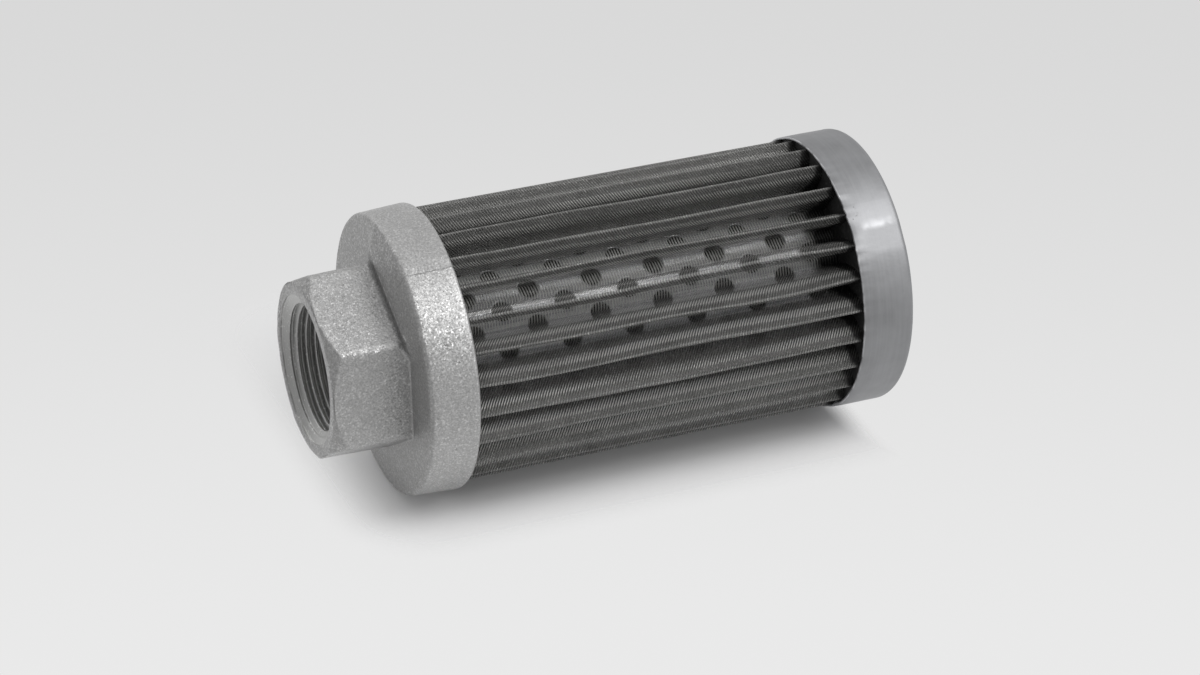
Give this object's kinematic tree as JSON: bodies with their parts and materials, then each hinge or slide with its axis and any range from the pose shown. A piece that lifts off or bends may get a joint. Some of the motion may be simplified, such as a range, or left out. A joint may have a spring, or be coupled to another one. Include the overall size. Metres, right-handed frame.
{
  "type": "hydraulic suction filter",
  "caption": "Tank suction strainer: hexagonal cast head with an internal pipe thread, pleated wire cloth round a perforated core tube, pressed steel end cap.",
  "frame": {"origin": "centre of the end cap's underside", "axes": "+Z along the filter's axis, from the end cap to the threaded port; -Y is the side that is up when the filter lies as pictured"},
  "size_m": [0.0699, 0.0698, 0.144],
  "materials": {
    "cast_aluminium": "shot-blasted as-cast",
    "woven_wire": "fine twill wire cloth",
    "plated_steel": "bright zinc plated",
    "potting": "matte, poured"
  },
  "bodies": {
    "root": {"cast_head": "cast_aluminium", "pleated_wire_cloth": "woven_wire", "seam_clip": "plated_steel", "perforated_core_tube": "plated_steel", "pressed_end_cap": "plated_steel", "cap_potting": "potting", "head_potting": "potting"}
  },
  "joints": []
}
